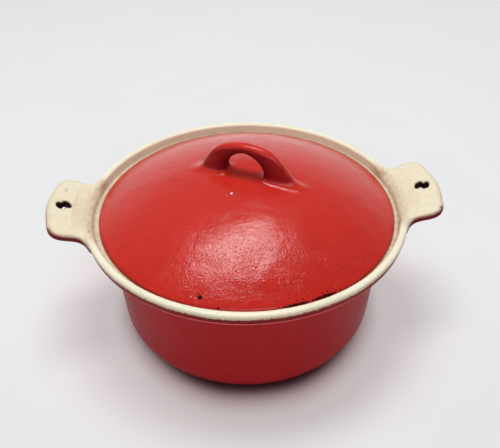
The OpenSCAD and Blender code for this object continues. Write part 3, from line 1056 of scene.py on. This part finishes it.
# ---------------------------------------------------------------- shading masks
def pot_marks(points):
    """Masks at the pot's vertices: colour line, grime and painted shade, hole walls, lugs, chips, pits,
    base.
    """
    radius, z = polar(points)
    reach, side = np.abs(points[:, 0]), np.abs(points[:, 1])
    along, above = slope(points)
    from_hole = HOLE_FIELD(along, points[:, 1])
    seat = -(((radius - (SEAT_R - 1.2)) / 1.9) ** 2) - ((z - SEAT_Z - 0.3) / 1.5) ** 2
    ledge = (radius > 93) & (radius < SEAT_R + 1.5) & (z > SEAT_Z - 1) & (z < POT_H - 2.0)
    by_lug = np.clip((reach - 92.0) / 6.0, 0, 1) * np.clip((40.0 - side) / 10.0, 0, 1)
    by_lug = by_lug * (z > SEAT_Z - 1)
    slopes = 0.85 * np.clip((110.5 - radius) / 6.5, 0, 1) * (radius > 100.5)
    # tan that is partly grime and partly painted shade: at the lid's seat, on the ledge and on the slopes
    # from the recess into the lugs
    grime_and_shade = 1.25 * np.exp(seat) + 0.05 * ledge + by_lug * (slopes + 0.40 * (radius > 96))
    bowl = 0.25 * ((radius < 90) & (z < 30) & (z > 3)) * np.clip((20 - z) / 15, 0, 1)
    hole = 0.4 * np.exp(-np.clip(from_hole, 0, 9) / 0.6) * (reach > 108)
    hollow = np.clip(1.0 - (from_hole - 0.25) / 0.5, 0, 1) * (reach > 108)
    return dict(
        spray=spray(points),
        grime_and_shade=np.clip(np.clip(grime_and_shade, 0, 1) + bowl + hole, 0, 1),
        hollow=hollow * np.clip((-above - 0.35) / 0.6, 0, 1),
        onlug=np.clip((reach - 100.0) / 4.0, 0, 1) * np.clip((radius - 108.6) / 1.6, 0, 1),
        chip=np.zeros(len(points)),
        pitted=np.full(len(points), 0.15),
        ground=((radius < BASE_R + 1.0) & (z < 0.7)).astype(float),
    )


def lid_marks(points):
    """Masks at the lid's vertices: colour line, grime and painted shade, chips, pits, base."""
    radius, z = polar(points)
    line = lid_line(points)
    front = np.clip((-points[:, 1] - 48) / 22, 0, 1) * np.clip((99.0 - radius) / 4.0, 0, 1)
    under = line < -0.5
    rib = 0.5 * np.exp(-(((radius - 87) / 3.0) ** 2)) * under
    chip = np.zeros(len(points))
    for x, y, z_chip, size in LID_CHIPS:
        dist = np.sqrt((points[:, 0] - x) ** 2 + (points[:, 1] - y) ** 2 + (z - z_chip) ** 2)
        chip = np.maximum(chip, np.clip(1.5 - dist / size, 0, 1))
    return dict(
        spray=-np.maximum(line, -3.0) * 2.0 - 0.2,
        grime_and_shade=np.clip(rib + 0.15 * under, 0, 1),
        chip=chip,
        pitted=0.12 + 0.88 * (front * (z > SEAT_Z + 1)),
        ground=np.zeros(len(points)),
    )


# ---------------------------------------------------------------- pieces
def make_mesh(name, verts, tris, normals, masks):
    mesh = bpy.data.meshes.new(name)
    mesh.vertices.add(len(verts))
    mesh.vertices.foreach_set("co", (verts * MM).astype(np.float32).ravel())
    mesh.loops.add(3 * len(tris))
    mesh.loops.foreach_set("vertex_index", tris.astype(np.int32).ravel())
    mesh.polygons.add(len(tris))
    mesh.polygons.foreach_set("loop_start", np.arange(0, 3 * len(tris), 3, dtype=np.int32))
    mesh.polygons.foreach_set("use_smooth", np.ones(len(tris), bool))
    mesh.update(calc_edges=True)
    mesh.validate()
    for key, values in masks.items():
        layer = mesh.attributes.new(key, "FLOAT", "POINT")
        layer.data.foreach_set("value", values.astype(np.float32))
    unit = normals / np.maximum(np.linalg.norm(normals, axis=1), 1e-9)[:, None]
    mesh.normals_split_custom_set_from_vertices(unit.tolist())
    obj = bpy.data.objects.new(name, mesh)
    bpy.context.scene.collection.objects.link(obj)
    return obj


def add_piece(body, part, material, verts, tris, normals, masks):
    shift = LID_SHIFT if body == "lid" else 0
    obj = make_mesh(f"{body}_{part}_visual", verts + shift, tris, normals, masks)
    obj.data.materials.append(material)
    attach(obj, body)
    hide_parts(f"{body}_{part}")


pot_enamel = enamel("pot enamel")
lid_enamel = enamel("lid enamel", lid=True)
cast_iron = iron("cast iron")

POT = pot_verts, pot_tris, pot_normals, pot_coat, pot_marks
LID = lid_verts, lid_tris, lid_normals, lid_coat, lid_marks
for body, part, slot, material, skin_data, chosen in (
    ("pot", "outer_enamel", "red_enamel", pot_enamel, POT, ~is_cream & ~is_base),
    ("pot", "inner_enamel", "cream_enamel", pot_enamel, POT, is_cream),
    ("lid", "outer_enamel", "red_enamel", lid_enamel, LID, is_top),
    ("lid", "inner_enamel", "cream_enamel", lid_enamel, LID, ~is_top),
):
    verts, tris, normals, coat, marks = skin_data
    solid = coat_solid(verts, normals, tris[chosen], coat)
    coat_verts, coat_tris, coat_normals, source = largest(*solid)
    masks = marks(verts[source])
    add_piece(body, part, material, coat_verts, coat_tris, coat_normals, masks)
for body, (verts, tris, normals, coat, marks) in (("pot", POT), ("lid", LID)):
    core = verts - normals * coat[:, None]
    add_piece(body, "casting", cast_iron, core, tris, normals, marks(core))

# ---------------------------------------------------------------- floor
# Paper and its clouds, fibres, and the tints of the wide and the close shadow
PAPER, PAPER_CLOUD = (0.82, 0.83, 0.83), (0.80, 0.81, 0.81)
FIBRE = (0.6, 0.58, 0.57)
WIDE_SHADOW, CLOSE_SHADOW = (0.74, 0.54, 0.57), (0.05, 0.006, 0.010)
# Glow, front and back, as the camera sees it and as other rays do
GLOW_SEEN = (0.76, 0.74, 0.74), (0.81, 0.815, 0.82)
GLOW_MIRRORED = (0.33, 0.30, 0.30), (1.25, 1.25, 1.27)


def floor_material():
    """Pale paper that glows, painted light: the glow keeps the shadow soft, except close to the pot."""
    mat = Material("floor paper")
    clouds = mat.patches(size=90, detail=3, rough=0.5, start=0.35, end=0.65)
    color = mat.mix(clouds, PAPER, PAPER_CLOUD)
    fibres = mat.patches(size=1.2, detail=3, rough=0.6, start=0.45, end=0.7)
    color = mat.mix(mat.mul(fibres, 0.05), color, FIBRE)
    normal = mat.bump(mat.noise(size=1.6, detail=3, rough=0.6), dist=0.03)
    x, y, _ = mat.xyz(mat.pos)
    wide = mat.axis_dist(x, y, 0.72)
    color = mat.mix(mat.step(wide, start=150.0, end=88.0), color, WIDE_SHADOW)
    sideways = mat.step(mat.math("ABSOLUTE", x), start=20.0, end=95.0)
    near = mat.add(mat.axis_dist(x, y), mat.mul(sideways, 8.0))
    color = mat.mix(mat.step(near, start=100.0, end=84.0, high=0.98), color, CLOSE_SHADOW)
    paper = mat.principled(color, 0.75, normal, spec=0.2)
    lit = mat.mix(mat.step(y, start=-160.0, end=60.0), *GLOW_SEEN)
    mirrored = mat.mix(mat.step(y, start=70.0, end=200.0), *GLOW_MIRRORED)
    seen = mat.node("LightPath", {}).outputs["Is Camera Ray"]
    glow = mat.node("Emission", {"Color": mat.mix(seen, mirrored, lit)}).outputs[0]
    close = mat.step(near, start=87.0, end=112.0, high=0.56)
    amount = mat.mul(close, mat.step(wide, start=98.0, end=190.0, low=0.94, high=1.14))
    return mat.finish(mat.node("MixShader", {0: amount, 1: paper, 2: glow}).outputs[0])


scene = bpy.context.scene
scene.view_settings.view_transform = "Standard"
FLOOR_HALF = 6.0  # metres
floor_mesh = bpy.data.meshes.new("floor")
floor_corners = [(x * FLOOR_HALF, y * FLOOR_HALF, 0) for x, y in ((-1, -1), (1, -1), (1, 1), (-1, 1))]
floor_mesh.from_pydata(floor_corners, [], [(0, 1, 2, 3)])
floor = bpy.data.objects.new("floor", floor_mesh)
scene.collection.objects.link(floor)
floor_mesh.materials.append(floor_material())


# ---------------------------------------------------------------- light, in metres and watts
def studio_world():
    """Dim in front of the pot, brighter towards the back, weaker overhead."""
    world = bpy.data.worlds.new("studio")
    scene.world = world
    world.use_nodes = True
    graph = Graph(world.node_tree)
    _, y, z = graph.xyz(graph.node("TexCoord", {}).outputs["Generated"])
    front_grey, back_white = (0.22, 0.22, 0.225), (0.95, 0.96, 0.97)
    color = graph.mix(graph.step(y, start=-0.35, end=1.05), front_grey, back_white)
    background = world.node_tree.nodes["Background"]
    graph.put(background.inputs["Color"], color)
    strength = graph.step(z, start=0.22, end=0.55, low=1.0, high=0.42)
    graph.put(background.inputs["Strength"], strength)


def area(name, place, target, size, power):
    light = bpy.data.lights.new(name, "AREA")
    light.shape = "RECTANGLE"
    light.size, light.size_y = size
    light.energy = power
    obj = bpy.data.objects.new(name, light)
    scene.collection.objects.link(obj)
    obj.location = place
    obj.rotation_mode = "QUATERNION"
    obj.rotation_quaternion = (Vector(target) - Vector(place)).to_track_quat("-Z", "Y")


studio_world()
area("softbox", place=(-0.06, 0.225, 1.5), target=(0, 0.02, 0.1), size=(0.80, 0.43), power=16.5)
area("left fill", place=(-1.5, -0.55, 0.75), target=(0, 0, 0.06), size=(0.8, 0.8), power=2.4)
area("front fill", place=(0.15, -1.5, 1.15), target=(0, 0, 0.08), size=(1.6, 0.9), power=12.0)


# ---------------------------------------------------------------- camera
def add_camera(dist, height, pitch, yaw, roll, orbit, lens):
    """dist and height in millimetres, angles in radians; orbit turns it all about the pot."""
    cos_orbit, sin_orbit = math.cos(orbit), math.sin(orbit)

    def turn(v):
        x, y, z = v
        return Vector((cos_orbit * x - sin_orbit * y, sin_orbit * x + cos_orbit * y, z))

    level = math.cos(pitch)
    ahead = Vector((math.sin(yaw) * level, math.cos(yaw) * level, -math.sin(pitch)))
    right = ahead.cross(Vector((0, 0, 1))).normalized()
    up = right.cross(ahead)
    cos_roll, sin_roll = math.cos(roll), math.sin(roll)
    rolled_right = turn(cos_roll * right + sin_roll * up)
    rolled_up = turn(-sin_roll * right + cos_roll * up)
    place = turn((0, -dist * MM, height * MM))
    columns = (*rolled_right, 0), (*rolled_up, 0), (*-turn(ahead), 0), (*place, 1)
    camera = bpy.data.cameras.new("camera")
    camera.sensor_width = 36.0
    camera.sensor_fit = "HORIZONTAL"
    camera.lens = lens
    camera.clip_start, camera.clip_end = 0.01, 50
    obj = bpy.data.objects.new("camera", camera)
    scene.collection.objects.link(obj)
    obj.matrix_world = Matrix(columns).transposed()
    scene.camera = obj


add_camera(
    dist=353.2, height=349.2, pitch=0.667, yaw=0.0074, roll=-0.007, orbit=-0.075, lens=46.00728
)
